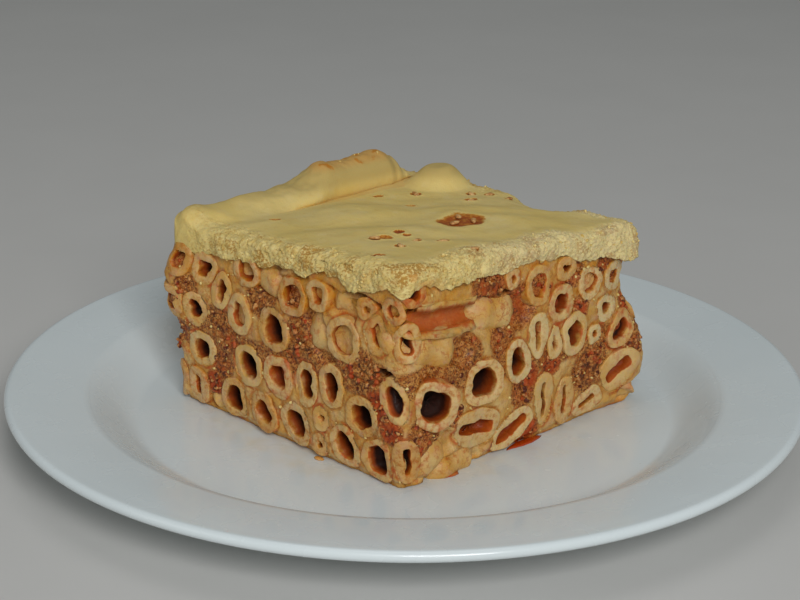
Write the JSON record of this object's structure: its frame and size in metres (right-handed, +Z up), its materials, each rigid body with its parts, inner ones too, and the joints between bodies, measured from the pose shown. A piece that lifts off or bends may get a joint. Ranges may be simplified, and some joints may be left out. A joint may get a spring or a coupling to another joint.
{
  "type": "baked pasta",
  "caption": "Square cut of baked macaroni with a minced meat layer and a rolled pastry crust on a round plate with a level rim.",
  "frame": {"origin": "on the table under the middle of the plate", "axes": "+Z up; the cut's sides face along X and Y, and the crust's rolled edge runs along its -X side"},
  "size_m": [0.23, 0.23, 0.0694],
  "materials": {
    "plate": "white glazed porcelain, glossy",
    "macaroni": "cooked durum wheat macaroni, moist and slightly translucent",
    "mince": "cooked minced meat in tomato sauce, rough and moist",
    "pastry": "pale baked shortcrust, matt, crumbly where cut"
  },
  "bodies": {
    "root": {"plate": "plate", "macaroni_lower": "macaroni", "mince_sauce": "mince", "macaroni_upper": "macaroni", "pastry_crust": "pastry"}
  },
  "joints": []
}
